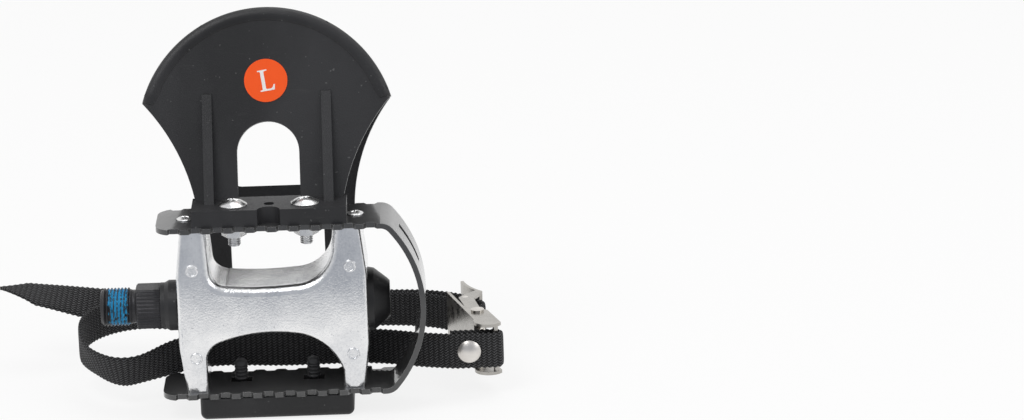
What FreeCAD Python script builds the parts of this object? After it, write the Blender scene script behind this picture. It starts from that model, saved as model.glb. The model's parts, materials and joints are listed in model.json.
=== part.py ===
import FreeCAD, Part
import math
import os

os.makedirs("parts", exist_ok=True)

# Left-hand exercise bike pedal with toe clip and strap, in millimetres.
# X runs along the spindle from the crank outwards, with zero at the inner end of the crank thread.
# Z points forward, to the toe clip. Y points from the underside to the shoe side.

# Spindle
thread_r = 7.14
thread_len = 11.3
thread_chamfer = 0.8
neck_r = 6.2
neck_len = 1.9
collar_r = 8.9
collar_len = 9.0
wrench_across = 15.0
flute_depth = 0.35
flute_count = 40
land_r = 7.4
sleeve_r = 9.4
sleeve_len = 6.2
journal_r = 6.0
shaft_r = 4.8
end_thread_r = 4.5

# Bearings
ball_r = 1.98
ball_count = 11
race_gap = 0.03
press_gap = 0.02
cup_wall = 1.2
cup_len = 5.0
cup_lip = 1.0
cup_lip_r = 8.4
inner_cup_inset = 1.0
outer_cup_inset = 11.0
cone_len = 6.0
washer_t = 1.0
washer_r = 8.0
nut_across = 10.0
nut_len = 3.5

# Body
body_gap = 0.4
body_len = 70.2
body_half_z = 31.0
barrel_half_y = 13.9
post_half_y = 11.0
barrel_bore_r = 6.3
waist_up = 9.6
waist_down = 7.8
waist_sag = 0.6
post_top_outer = 33.1
post_top_inner = 23.4
post_foot_inner = 22.4
inner_corner = 6.0
outer_corner = 14.0
arch_round = 3.4
leg_outer = 33.0
leg_inner = 25.0
outer_leg_z = -24.0
inner_leg_z = -18.0
arch_out_x = 10.0
arch_out_z = -8.8
arch_bend_x = 19.0
arch_bend_z = -13.8
arch_in_x = -20.0
arch_in_z = -11.3
arch_in_bend_x = -23.6
arch_in_bend_z = -14.0
barrel_end_half_z = 13.5
edge_round = 1.6
mark_r = 2.2
mark_proud = 0.35
mark_x = 29.0
mark_z = 17.0

# End cap
cap_rim = 0.6
cap_bevel = 0.4
cap_face_r = 7.6
cap_rim_len = 2.2
cap_len = 8.0
cap_plug_len = 4.0
cap_wall = 1.6
cap_edge = 1.0

# Cage strip
sheet = 2.0
cage_half_y = 13.5
cage_bow_r = 48.0
cage_bow_reach = 56.4
front_tip = 41.8
rear_tip = 42.2
tip_round = 7.0
bend_round = 6.0
tooth_pitch = 8.0
tooth_gap = 4.2
tooth_depth = 1.7
tooth_taper = 0.6
tooth_first = -35.0
tooth_last = 38.0
bow_slot_w = 4.0
bow_slot_low = 14.0
bow_slot_high = 28.0
strap_notch_y = 6.2
strap_notch_top = -15.2
strap_notch_end = -31.8

# Cage screws
cage_screw_r = 1.9
cage_screw_head_r = 3.3
cage_screw_len = 10.0
front_screw_x = 31.3
rear_screw_x = 28.2
screw_gap = 0.1

# Toe clip
clip_lean = math.radians(20.0)
clip_wall = 3.0
clip_foot_y = 2.7
block_half_x = 28.4
block_near_y = -12.0
block_far_y = 5.5
block_h = 6.2
block_groove_r = 4.2
block_hole_r = 1.9
fan_base_half = 27.4
fan_mid_half = 33.0
fan_mid_v = 17.0
fan_r = 48.0
fan_centre_v = 23.0
fan_corner = math.radians(16.5)
rim_depth = 6.0
rim_round = 2.4
window_half = 11.5
window_spring_v = 17.0
rib_u = 22.0
rib_w = 3.6
rib_top_v = 39.0
rib_base_h = 6.0
rib_top_h = 0.8
ear_low = math.radians(20.0)
ear_high = math.radians(61.0)
top_far_y = 58.0
top_wall = 3.0
top_centre_v = 57.0
top_opening_half = 17.5
top_opening_low = 8.0
top_opening_high = 44.0
top_opening_round = 5.0
leg_half_in = 18.0
leg_half_out = 30.0
leg_end_z = -33.6
bar_low_v = -8.0
bar_arch_v = -1.5
keeper_wall = 2.0
keeper_gap = 0.5

# Toe clip bolts and side mark
bolt_r = 2.4
bolt_x = 13.3
bolt_y = -4.0
bolt_end_z = 23.6
bolt_head_r = 5.0
bolt_head_h = 2.6
bolt_nut_across = 8.0
bolt_nut_h = 3.4
bolt_flange_r = 4.9
bolt_flange_h = 1.0
sticker_r = 8.0
sticker_t = 0.25
sticker_rise = 20.6

# Reflector
reflector_half_x = 28.5
reflector_near_y = -12.5
reflector_far_y = 9.5
reflector_h = 8.4
reflector_round = 2.5
reflector_gap = 0.2
reflector_frame = 2.4
reflector_recess = 1.0
stud_x = 13.5
stud_y = 3.0
stud_r = 1.7
stud_rib_r = 2.4
stud_h = 9.6
stud_ribs = 4
stud_slot_x = 8.0
stud_slot_y = 5.2

# Strap and its rivet
strap_w = 14.0
strap_t = 1.8
strap_z = -23.6
strap_tail_rise = 8.5
strap_tail_slant = 13.0
strap_gap = 0.5
layer_gap = 0.6
fold_slack = 0.2
fold_lead = 3.0
fold_flat = 15.0
fold_tail = 17.0
fold_lift = 0.6
rivet_back = 10.0
rivet_gap = 0.2
rivet_head_r = 4.35
rivet_head_h = 1.6
rivet_r = 1.8
rivet_back_r = 3.4
rivet_back_h = 0.8
fold_reach = 81.8
fold_y = 7.2

# Buckle
buckle_turn = math.radians(16.2)
bail_r = 1.0
plate_t = 1.2
plate_gap = 0.3
base_m = -5.0
base_start = 7.0
base_end = 42.5
pivot_w = 16.0
pivot_m = -2.0
pivot_r = 1.5
pivot_gap = 0.05
pivot_head_r = 2.5
pivot_head_h = 0.8
boss_r = 2.6
roller_w = 38.8
roller_r = 2.2
roller_pin_r = 1.2
tab_start = 43.0
tab_m = 7.0
tab_end = 58.0
tab_end_m = 4.0
tab_dip = 2.6
spring_r = 2.3
spring_wire_r = 0.45
spring_turns = 5
spring_pitch = 1.08
spring_end_gap = 1.0

# How far a cutter runs past the face that it cuts
over = 1.0

# Sizes that follow from the ones above
collar_x0 = neck_len
collar_x1 = collar_x0 + collar_len
sleeve_x1 = collar_x1 + sleeve_len
body_x0 = sleeve_x1 + body_gap
body_x1 = body_x0 + body_len
mid_x = (body_x0 + body_x1) / 2
ball_ring_r = journal_r + ball_r + race_gap
cup_in_r = ball_ring_r + ball_r + race_gap
cup_out_r = cup_in_r + cup_wall
cup_seat_r = cup_out_r + press_gap
inner_cup_x = body_x0 + inner_cup_inset
outer_cup_x = body_x1 - outer_cup_inset
cone_x = outer_cup_x
spindle_end_x = cone_x + cone_len + washer_t + nut_len
cage_out_z = body_half_z + sheet
cage_bow_x = mid_x + cage_bow_reach - cage_bow_r
cage_far_x = mid_x + cage_bow_reach + sheet
fold_x = mid_x + fold_reach
fold_wrap = bail_r + strap_t / 2 + fold_slack
rivet_x = fold_x - rivet_back
block_top_z = cage_out_z + block_h
sticker_v = fan_centre_v + sticker_rise
strap_low = strap_z - strap_w / 2
strap_high = strap_z + strap_w / 2
far_band_y = top_far_y + keeper_gap + strap_t / 2
tail_band_y = far_band_y + strap_t + layer_gap
keeper_in_y = tail_band_y + strap_t / 2 + keeper_gap
lever_low = strap_low - plate_gap - plate_t
lever_high = strap_high + plate_gap + plate_t
frame_low = lever_low - plate_gap - plate_t
frame_high = lever_high + plate_gap + plate_t

X = FreeCAD.Vector(1, 0, 0)
Y = FreeCAD.Vector(0, 1, 0)
Z = FreeCAD.Vector(0, 0, 1)


def point(x, y, z):
    return FreeCAD.Vector(x, y, z)


def box(x0, x1, y0, y1, z0, z1):
    return Part.makeBox(x1 - x0, y1 - y0, z1 - z0, point(x0, y0, z0))


def rod(start, direction, r, length):
    return Part.makeCylinder(r, length, start, direction)


def face(start, *steps):
    """A flat face. A step is one point for a line, or two points for an arc."""
    edges = []
    here = start
    for step in steps:
        if len(step) == 1:
            edges.append(Part.makeLine(here, step[0]))
        else:
            edges.append(Part.Arc(here, step[0], step[1]).toShape())
        here = step[-1]
    if here.distanceToPoint(start) > 1e-6:
        edges.append(Part.makeLine(here, start))
    return Part.Face(Part.Wire(edges))


def polygon(points):
    return face(points[0], *[(p,) for p in points[1:]])


def turned(profile):
    """A solid turned about the spindle axis, from pairs of place and radius."""
    flat = polygon([point(x, 0, r) for x, r in profile])
    return flat.revolve(point(0, 0, 0), X, 360)


def hexagon(centre, across, depth):
    r = across / math.sqrt(3)
    corners = []
    for i in range(6):
        a = math.radians(60 * i)
        corners.append((r * math.cos(a), r * math.sin(a)))
    if depth.x:
        points = [centre + point(0, a, b) for a, b in corners]
    else:
        points = [centre + point(a, b, 0) for a, b in corners]
    return polygon(points).extrude(depth)


def save(name, shape):
    shape.exportStep("parts/" + name + ".step")


def group(shapes):
    return Part.makeCompound(shapes)


# Spindle and bearings

def spindle():
    core = turned([
        (-thread_len, 0),
        (-thread_len, thread_r - thread_chamfer),
        (thread_chamfer - thread_len, thread_r),
        (0, thread_r),
        (0, neck_r),
        (collar_x1, neck_r),
        (collar_x1, land_r),
        (sleeve_x1, land_r),
        (body_x0, journal_r),
        (inner_cup_x + cup_len + cup_lip, journal_r),
        (inner_cup_x + cup_len + 2 * cup_lip, shaft_r),
        (cone_x, shaft_r),
        (cone_x, end_thread_r),
        (spindle_end_x, end_thread_r),
        (spindle_end_x, 0),
    ])
    rim = []
    for i in range(2 * flute_count):
        a = math.pi * i / flute_count
        r = collar_r - flute_depth * (i % 2)
        rim.append(point(collar_x0, r * math.cos(a), r * math.sin(a)))
    collar = polygon(rim).extrude(X * collar_len)
    flats = box(collar_x0, collar_x1, -collar_r, collar_r, -wrench_across / 2, wrench_across / 2)
    return core.fuse(collar.common(flats)).removeSplitter()


def seal_sleeve():
    bore = land_r + press_gap
    return turned([
        (collar_x1, bore),
        (collar_x1, collar_r - flute_depth),
        (collar_x1 + sleeve_len / 4, collar_r - flute_depth),
        (collar_x1 + sleeve_len / 2, sleeve_r),
        (sleeve_x1, sleeve_r),
        (sleeve_x1, bore),
    ])


def cup(x_open, x_back, x_end):
    return turned([
        (x_open, cup_in_r),
        (x_open, cup_out_r),
        (x_end, cup_out_r),
        (x_end, cup_lip_r),
        (x_back, cup_lip_r),
        (x_back, cup_in_r),
    ])


def ball_set(x):
    balls = []
    for i in range(ball_count):
        a = 2 * math.pi * i / ball_count
        centre = point(x, ball_ring_r * math.cos(a), ball_ring_r * math.sin(a))
        balls.append(Part.makeSphere(ball_r, centre))
    return group(balls)


def outer_cone():
    bore = end_thread_r + press_gap
    x1 = cone_x + cone_len
    return turned([(cone_x, bore), (cone_x, journal_r), (x1, journal_r), (x1, bore)])


def lock_washer():
    bore = end_thread_r + press_gap
    x0 = cone_x + cone_len
    x1 = x0 + washer_t
    return turned([(x0, bore), (x0, washer_r), (x1, washer_r), (x1, bore)])


def lock_nut():
    start = point(cone_x + cone_len + washer_t, 0, 0)
    blank = hexagon(start, nut_across, X * nut_len)
    return blank.cut(rod(start, X, end_thread_r + press_gap, nut_len))


def end_cap():
    x1 = body_x1 + cap_len
    plug_r = cup_out_r
    bore = plug_r - cap_wall
    return turned([
        (body_x1 - cap_plug_len, bore),
        (body_x1 - cap_plug_len, plug_r),
        (body_x1, plug_r),
        (body_x1, plug_r + cap_rim),
        (body_x1 + cap_rim_len, plug_r + cap_rim - cap_bevel),
        (x1 - cap_edge, cap_face_r),
        (x1, cap_face_r - cap_edge),
        (x1, 0),
        (body_x1 + cap_rim_len, 0),
        (body_x1 + cap_rim_len, bore),
    ])


# Body

def body_outline():
    def at(dx, z):
        return point(mid_x + dx, 0, z)
    half = body_len / 2
    share = 1 - math.sqrt(0.5)
    floor = waist_up + waist_sag
    in_turn = inner_corner * share
    out_turn = outer_corner * share
    in_x = inner_corner - post_foot_inner
    out_x = post_foot_inner - outer_corner
    return face(
        at(-post_top_outer, body_half_z),
        (at(-post_top_inner, body_half_z),),
        (at(-post_foot_inner, floor + inner_corner),),
        (at(in_turn - post_foot_inner, floor + in_turn), at(in_x, floor)),
        (at((in_x + out_x) / 2, waist_up), at(out_x, floor)),
        (at(post_foot_inner - out_turn, floor + out_turn), at(post_foot_inner, floor + outer_corner)),
        (at(post_top_inner, body_half_z),),
        (at(post_top_outer, body_half_z),),
        (at(half, barrel_end_half_z),),
        (at(half, -barrel_end_half_z),),
        (at(leg_outer, -body_half_z),),
        (at(leg_inner, -body_half_z),),
        (at(leg_inner, outer_leg_z),),
        (at(arch_bend_x, arch_bend_z), at(arch_out_x, arch_out_z)),
        (at(0, -waist_down), at(arch_in_x, arch_in_z)),
        (at(arch_in_bend_x, arch_in_bend_z), at(-leg_inner, inner_leg_z)),
        (at(-leg_inner, -body_half_z),),
        (at(-leg_outer, -body_half_z),),
        (at(-half, -barrel_end_half_z),),
        (at(-half, barrel_end_half_z),),
    )


def body_edges(casting, upper):
    """The long edges of the two faces, either round the upper arch or all the others."""
    edges = []
    for edge in casting.Edges:
        c = edge.CenterOfMass
        long_edge = abs(c.y) > post_half_y - 0.1 and abs(c.z) < body_half_z - 0.5
        in_arch = c.z > 0 and abs(c.x - mid_x) < post_top_inner + edge_round
        if long_edge and in_arch == upper:
            edges.append(edge)
    return edges


def body_face_y(z):
    """Half the thickness of the casting at height z, on the arc of its side profile."""
    rise = barrel_half_y - post_half_y
    r = (body_half_z ** 2 + rise ** 2) / (2 * rise)
    return barrel_half_y - r + math.sqrt(r ** 2 - z ** 2)


def body():
    slab = body_outline()
    slab.translate(Y * -2 * barrel_half_y)
    slab = slab.extrude(Y * 4 * barrel_half_y)
    side = face(
        point(body_x0, -post_half_y, body_half_z),
        (point(body_x0, -barrel_half_y, 0), point(body_x0, -post_half_y, -body_half_z)),
        (point(body_x0, post_half_y, -body_half_z),),
        (point(body_x0, barrel_half_y, 0), point(body_x0, post_half_y, body_half_z)),
    ).extrude(X * body_len)
    casting = slab.common(side)
    casting = casting.makeFillet(edge_round, body_edges(casting, False))
    casting = casting.makeFillet(arch_round, body_edges(casting, True))
    for dx in (-mark_x, mark_x):
        for z in (-mark_z, mark_z):
            y = body_face_y(z) + mark_proud
            casting = casting.fuse(rod(point(mid_x + dx, -y, z), Y, mark_r, 2 * mark_r))
    bores = [
        rod(point(body_x0, 0, 0), X, barrel_bore_r, body_len),
        rod(point(body_x0, 0, 0), X, cup_seat_r, inner_cup_x + cup_len + cup_lip - body_x0),
        rod(point(outer_cup_x - cup_lip, 0, 0), X, cup_seat_r, body_x1 - outer_cup_x + cup_lip),
    ]
    for x, sign in cage_screw_places():
        depth = cage_screw_len - sheet
        bores.append(rod(point(x, 0, sign * body_half_z), Z * -sign, cage_screw_r + screw_gap, depth))
    return casting.cut(bores)


# Cage and its screws

def cage_screw_places():
    places = []
    for side in (-1, 1):
        places.append((mid_x + side * front_screw_x, 1))
        places.append((mid_x + side * rear_screw_x, -1))
    return places


def countersunk(x, sign, clearance):
    r = cage_screw_r + clearance
    head = Part.makeCone(cage_screw_head_r + clearance, r, sheet, point(x, 0, sign * cage_out_z), Z * -sign)
    return head.fuse(rod(point(x, 0, sign * cage_out_z), Z * -sign, r, cage_screw_len - clearance))


def cage_region(inset):
    z = cage_out_z - inset
    r = cage_bow_r - inset
    x = cage_bow_x + math.sqrt(r ** 2 - z ** 2)
    region = face(
        point(0, 0, z),
        (point(x, 0, z),),
        (point(cage_bow_x + r, 0, 0), point(x, 0, -z)),
        (point(0, 0, -z),),
    )
    region.translate(Y * -cage_half_y)
    solid = region.extrude(Y * 2 * cage_half_y)
    corners = []
    for edge in solid.Edges:
        c = edge.CenterOfMass
        if abs(c.y) < 0.1 and c.x > 1:
            corners.append(edge)
    return solid.makeFillet(bend_round - inset, corners)


def tooth_gaps(sign):
    z0 = min(sign * cage_out_z, sign * body_half_z) - over
    cutters = []
    for side in (-1, 1):
        edge = side * (cage_half_y + over)
        floor = side * (cage_half_y - tooth_depth)
        x = mid_x + tooth_first
        while x < mid_x + tooth_last:
            cutters.append(polygon([
                point(x - tooth_gap / 2 - over, edge, z0),
                point(x + tooth_gap / 2 + over, edge, z0),
                point(x + tooth_gap / 2 - tooth_taper, floor, z0),
                point(x - tooth_gap / 2 + tooth_taper, floor, z0),
            ]).extrude(Z * (sheet + 2 * over)))
            x += tooth_pitch
    return cutters


def cage_tip(x_tip, sign):
    """The piece cut away beyond one rounded end of the strip."""
    z0 = min(sign * cage_out_z, sign * body_half_z) - over
    y = cage_half_y
    turn = tip_round * (1 - math.sqrt(0.5))
    flat = face(
        point(-sheet, -y - over, z0),
        (point(x_tip + tip_round, -y - over, z0),),
        (point(x_tip + tip_round, -y, z0),),
        (point(x_tip + turn, -y + turn, z0), point(x_tip, tip_round - y, z0)),
        (point(x_tip, y - tip_round, z0),),
        (point(x_tip + turn, y - turn, z0), point(x_tip + tip_round, y, z0)),
        (point(x_tip + tip_round, y + over, z0),),
        (point(-sheet, y + over, z0),),
    )
    return flat.extrude(Z * (sheet + 2 * over))


def cage():
    strip = cage_region(0).cut(cage_region(sheet))
    cutters = [cage_tip(mid_x - front_tip, 1), cage_tip(mid_x - rear_tip, -1)]
    cutters += tooth_gaps(1)
    cutters += tooth_gaps(-1)
    cutters.append(box(body_x1, cage_far_x, -bow_slot_w / 2, bow_slot_w / 2, bow_slot_low, bow_slot_high))
    cutters.append(box(body_x1, cage_far_x, strap_notch_y, cage_half_y + over, strap_notch_end, strap_notch_top))
    for x, sign in cage_screw_places():
        cutters.append(countersunk(x, sign, screw_gap))
    for side in (-1, 1):
        x = mid_x + side * bolt_x
        cutters.append(rod(point(x, bolt_y, body_half_z), Z, bolt_r + screw_gap, sheet))
        x = mid_x + side * stud_x
        cutters.append(box(x - stud_slot_x / 2, x + stud_slot_x / 2, stud_y - stud_slot_y / 2,
                           stud_y + stud_slot_y / 2, -cage_out_z, -body_half_z))
    return strip.cut(cutters)


# Toe clip

def clip(u, v, s):
    """A point of the toe clip: u across, v up the sole plate, s away from its underside."""
    y = clip_foot_y + v * math.sin(clip_lean) + s * math.cos(clip_lean)
    z = block_top_z + v * math.cos(clip_lean) - s * math.sin(clip_lean)
    return point(mid_x + u, y, z)


def clip_depth(s):
    return clip(0, 0, s) - clip(0, 0, 0)


def fan_arc(a, r):
    return clip(r * math.cos(a), fan_centre_v + r * math.sin(a), 0)


def sole_plate():
    corner = fan_corner
    base_v = -block_h / math.cos(clip_lean)
    top = math.pi / 2
    plate = face(
        clip(-fan_base_half, base_v, 0),
        (clip(fan_base_half, base_v, 0),),
        (clip(fan_base_half, 0, 0),),
        (clip(fan_mid_half, fan_mid_v, 0), fan_arc(corner, fan_r)),
        (fan_arc(top, fan_r), fan_arc(math.pi - corner, fan_r)),
        (clip(-fan_mid_half, fan_mid_v, 0), clip(-fan_base_half, 0, 0)),
    ).extrude(clip_depth(clip_wall))
    inner = fan_r - clip_wall
    rim = face(
        fan_arc(corner, fan_r),
        (fan_arc(top, fan_r), fan_arc(math.pi - corner, fan_r)),
        (fan_arc(math.pi - corner, inner),),
        (fan_arc(top, inner), fan_arc(corner, inner)),
    ).extrude(clip_depth(rim_depth))
    shell = plate.fuse(rim).removeSplitter()
    edges = []
    for edge in shell.Edges:
        c = edge.BoundBox
        round_edge = edge.Curve.TypeId == "Part::GeomCircle" and abs(edge.Curve.Radius - fan_r) < 1e-6
        if round_edge and c.XLength > fan_r:
            low = edge.Vertexes[0].Point.distanceToPoint(fan_arc(corner, fan_r))
            high = edge.Vertexes[0].Point.distanceToPoint(fan_arc(math.pi - corner, fan_r))
            if min(low, high) < 0.1:
                edges.append(edge)
    return shell.makeFillet(rim_round, edges)


def window():
    flat = face(
        clip(-window_half, 0, -clip_wall),
        (clip(window_half, 0, -clip_wall),),
        (clip(window_half, window_spring_v, -clip_wall),),
        (clip(0, window_spring_v + window_half, -clip_wall),
         clip(-window_half, window_spring_v, -clip_wall)),
    )
    return flat.extrude(clip_depth(3 * clip_wall))


def rib(side):
    u = side * rib_u - rib_w / 2
    foot_v = -rib_base_h * math.tan(clip_lean) - over
    return polygon([
        clip(u, foot_v, over),
        clip(u, foot_v, -rib_base_h),
        clip(u, rib_top_v, -rib_top_h),
        clip(u, rib_top_v + over, over),
    ]).extrude(X * rib_w)


def ear(side):
    low = fan_arc(ear_low, fan_r)
    high = fan_arc(ear_high, fan_r)
    middle = (ear_low + ear_high) / 2
    inward = fan_arc(middle, fan_r - clip_wall) - fan_arc(middle, fan_r)
    wall = polygon([low, high, high + inward, low + inward]).extrude(clip_depth(2 * top_far_y))
    wall = wall.common(box(mid_x, mid_x + 2 * fan_r, -top_far_y, top_far_y, 0, 4 * fan_r))
    if side < 0:
        wall = wall.mirror(point(mid_x, 0, 0), X)
    return wall


def top_plate():
    leg_v = -2 * fan_r
    low = fan_arc(ear_low, fan_r) - clip(0, 0, 0)
    ear_v = fan_centre_v + fan_r * math.sin(ear_low)
    ear_top_v = fan_centre_v + fan_r * math.sin(ear_high)
    ear_top_u = fan_r * math.cos(ear_high)
    ear_u = low.x
    flat = face(
        clip(-ear_top_u, ear_top_v, 0),
        (clip(-ear_u, ear_v, 0),),
        (clip(-fan_mid_half, fan_mid_v, 0), clip(-leg_half_out, 0, 0)),
        (clip(-leg_half_out, leg_v, 0),),
        (clip(-leg_half_in, leg_v, 0),),
        (clip(-leg_half_in, bar_low_v, 0),),
        (clip(0, bar_arch_v, 0), clip(leg_half_in, bar_low_v, 0)),
        (clip(leg_half_in, leg_v, 0),),
        (clip(leg_half_out, leg_v, 0),),
        (clip(leg_half_out, 0, 0),),
        (clip(fan_mid_half, fan_mid_v, 0), clip(ear_u, ear_v, 0)),
        (clip(ear_top_u, ear_top_v, 0),),
        (clip(leg_half_in, top_centre_v, 0),),
        (clip(-leg_half_in, top_centre_v, 0),),
    )
    depth = clip_depth(2 * top_far_y + fan_r)
    flat.translate(clip_depth(-fan_r))
    slab = box(mid_x - fan_r, mid_x + fan_r, top_far_y - top_wall, top_far_y, leg_end_z, 4 * fan_r)
    plate = flat.extrude(depth).common(slab)
    hole = polygon([
        clip(-top_opening_half, top_opening_low, 0),
        clip(top_opening_half, top_opening_low, 0),
        clip(top_opening_half, top_opening_high, 0),
        clip(-top_opening_half, top_opening_high, 0),
    ]).extrude(depth)
    along = clip_depth(1)
    corners = []
    for edge in hole.Edges:
        run = edge.Vertexes[-1].Point - edge.Vertexes[0].Point
        if abs(abs(run.dot(along)) - run.Length) < 1e-3:
            corners.append(edge)
    return plate.cut(hole.makeFillet(top_opening_round, corners))


def keeper(side):
    x = mid_x + side * (leg_half_in + leg_half_out) / 2
    half = (leg_half_out - leg_half_in) / 2
    low = strap_low - keeper_gap
    high = strap_high + keeper_gap
    loop = box(x - half, x + half, top_far_y - top_wall, keeper_in_y + keeper_wall,
               leg_end_z, high + keeper_wall)
    hole = box(x - half, x + half, top_far_y, keeper_in_y, low, high)
    return loop.cut(hole)


def toe_clip():
    block = box(mid_x - block_half_x, mid_x + block_half_x, block_near_y, block_far_y,
                cage_out_z, block_top_z)
    groove = rod(point(mid_x, block_near_y, cage_out_z), Z, block_groove_r, block_h)
    hole = rod(point(mid_x, bolt_y, cage_out_z), Z, block_hole_r, block_h)
    block = block.cut([groove, hole])
    below = box(0, 2 * mid_x, -fan_r, fan_r, 0, cage_out_z)
    plate = sole_plate().cut([window(), below])
    parts = [block, rib(-1), rib(1), ear(-1), ear(1), top_plate(), keeper(-1), keeper(1)]
    moulding = plate.fuse(parts).removeSplitter()
    bolts = []
    for side in (-1, 1):
        bolts.append(rod(point(mid_x + side * bolt_x, bolt_y, cage_out_z), Z, bolt_r + screw_gap, block_h))
    return moulding.cut(bolts)


def dome(centre, direction, r, h):
    """A low round head: the cap of a ball that stands h above a circle of radius r."""
    ball = (r ** 2 + h ** 2) / (2 * h)
    cap = Part.makeSphere(ball, centre + direction * (h - ball))
    return cap.common(rod(centre, direction, r, h))


def toe_clip_screw(side):
    centre = point(mid_x + side * bolt_x, bolt_y, block_top_z)
    return dome(centre, Z, bolt_head_r, bolt_head_h).fuse(rod(centre, -Z, bolt_r, block_top_z - bolt_end_z))


def toe_clip_nut(side):
    top = point(mid_x + side * bolt_x, bolt_y, body_half_z)
    flange = rod(top, -Z, bolt_flange_r, bolt_flange_h)
    nut = hexagon(top, bolt_nut_across, Z * -bolt_nut_h)
    return nut.fuse(flange).cut(rod(top, -Z, bolt_r + press_gap, bolt_nut_h))


def side_sticker():
    start = clip(0, sticker_v, -sticker_t)
    return rod(start, clip_depth(1), sticker_r, sticker_t)


# Reflector

def stud(side):
    top = -cage_out_z + stud_h
    centre = point(mid_x + side * stud_x, stud_y, -cage_out_z - reflector_gap)
    post = rod(centre, Z, stud_r, stud_h)
    step = (stud_h - 2 * sheet) / stud_ribs
    ribs = []
    for i in range(stud_ribs):
        low = centre + Z * (top + cage_out_z - (i + 1) * step + reflector_gap)
        ribs.append(Part.makeCone(stud_rib_r, stud_r, step, low, Z))
    return post.fuse(ribs)


def reflector():
    top = -cage_out_z - reflector_gap
    block = box(mid_x - reflector_half_x, mid_x + reflector_half_x, reflector_near_y, reflector_far_y,
                top - reflector_h, top)
    block = block.makeFillet(reflector_round, [e for e in block.Edges if abs(e.CenterOfMass.z - top) > 1])
    inset = reflector_round + reflector_frame
    recess = box(mid_x - reflector_half_x + inset, mid_x + reflector_half_x - inset,
                 reflector_near_y + inset, reflector_far_y - inset,
                 top - reflector_h, top - reflector_h + reflector_recess)
    return block.cut(recess).fuse([stud(-1), stud(1)])


# Strap, rivet and buckle

def buckle(w, m, z):
    """A point of the buckle: w from the bail to the thumb tab, m towards the outside of the loop."""
    x = fold_x - w * math.sin(buckle_turn) + m * math.cos(buckle_turn)
    y = fold_y + w * math.cos(buckle_turn) + m * math.sin(buckle_turn)
    return point(x, y, z)


def strap_route():
    """The middle of the webbing, from the folded end to the tip of the tail."""
    wrap = fold_wrap
    in_y = fold_y + wrap
    out_y = fold_y - wrap
    behind_y = barrel_half_y + strap_t / 2 + strap_gap
    far_y = far_band_y
    tail_y = tail_band_y
    tail_z = strap_z + strap_tail_rise
    in_m = base_m + strap_t / 2 + strap_gap

    def at(dx, y, z):
        return point(mid_x + dx, y, z)
    fold = []
    for degrees in (90, 45, 0, -45, -90):
        a = math.radians(degrees)
        fold.append(point(fold_x + wrap * math.cos(a), fold_y + wrap * math.sin(a), strap_z))
    return [
        point(fold_x - fold_tail, in_y, strap_z),
        point(rivet_x, in_y, strap_z),
        point(fold_x - fold_lead, in_y, strap_z),
    ] + fold + [
        point(fold_x - fold_lead, out_y, strap_z),
        point(rivet_x, out_y, strap_z),
        point(fold_x - fold_flat, out_y, strap_z),
        point(fold_x - fold_flat - fold_lead, out_y + fold_lift, strap_z),
        at(54, 8.4, strap_z),
        at(42, 13.0, strap_z),
        at(30, behind_y, strap_z),
        at(0, behind_y + 0.2, strap_z),
        at(-31, behind_y, strap_z),
        at(-46, 9.8, strap_z),
        at(-57, 5.6, strap_z),
        at(-67, 11, strap_z),
        at(-74, 28, strap_z),
        at(-70, 46, strap_z),
        at(-56, 57, strap_z),
        at(-40, far_y, strap_z),
        at(-30, far_y, strap_z),
        at(0, far_y, strap_z),
        at(30, far_y, strap_z),
        at(49, 57.8, strap_z),
        at(58, 54.6, strap_z),
        buckle(roller_w + 5, in_m - 0.2, strap_z),
        buckle(roller_w, in_m, strap_z),
        buckle(roller_w - 5, in_m + 1.2, strap_z),
        buckle(roller_w - 7.5, 2.2, strap_z),
        buckle(roller_w - 4.5, 6.0, strap_z),
        buckle(roller_w, 5.6, strap_z),
        buckle(roller_w + 5.5, 3.2, strap_z),
        at(63, 57.2, strap_z),
        at(52, 60.7, strap_z),
        at(40, tail_y, strap_z),
        at(25, tail_y, strap_z),
        at(0, tail_y, strap_z),
        at(-28, tail_y, strap_z),
        at(-44, tail_y + 0.8, strap_z + 0.8),
        at(-64, tail_y + 3.2, strap_z + 3.4),
        at(-86, tail_y + 6.4, tail_z - 2.2),
        at(-108, tail_y + 9.0, tail_z),
    ]


def tail_corner(tip):
    """The corner that is cut off the end of the tail, so that it slants."""
    low = tip.z - strap_w
    return polygon([
        point(tip.x - over, 0, tip.z + strap_w / 2),
        point(tip.x + 2 * strap_tail_slant, 0, low),
        point(tip.x - strap_w, 0, low),
        point(tip.x - strap_w, 0, tip.z + strap_w / 2),
    ]).extrude(Y * 2 * tip.y)


def strap():
    route = strap_route()
    curve = Part.BSplineCurve()
    curve.interpolate(route)
    path = Part.Wire([curve.toShape()])
    start = route[0]
    along = curve.tangent(curve.FirstParameter)[0]
    across = along.cross(Z).normalize() * (strap_t / 2)
    up = Z * (strap_w / 2)
    section = Part.makePolygon([
        start - across - up,
        start + across - up,
        start + across + up,
        start - across + up,
        start - across - up,
    ])
    sweep = Part.BRepOffsetAPI.MakePipeShell(path)
    sweep.setBiNormalMode(Z)
    sweep.add(section)
    sweep.build()
    sweep.makeSolid()
    hole = rod(point(rivet_x, 0, strap_z), Y, rivet_r + screw_gap, 2 * fold_y)
    return sweep.shape().cut([hole, tail_corner(route[-1])])


def strap_rivet():
    reach = fold_wrap + strap_t / 2 + rivet_gap
    near = point(rivet_x, fold_y - reach, strap_z)
    back = point(rivet_x, fold_y + reach, strap_z)
    head = dome(near, -Y, rivet_head_r, rivet_head_h)
    return head.fuse([rod(near, Y, rivet_r, 2 * reach), rod(back, Y, rivet_back_r, rivet_back_h)])


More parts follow.
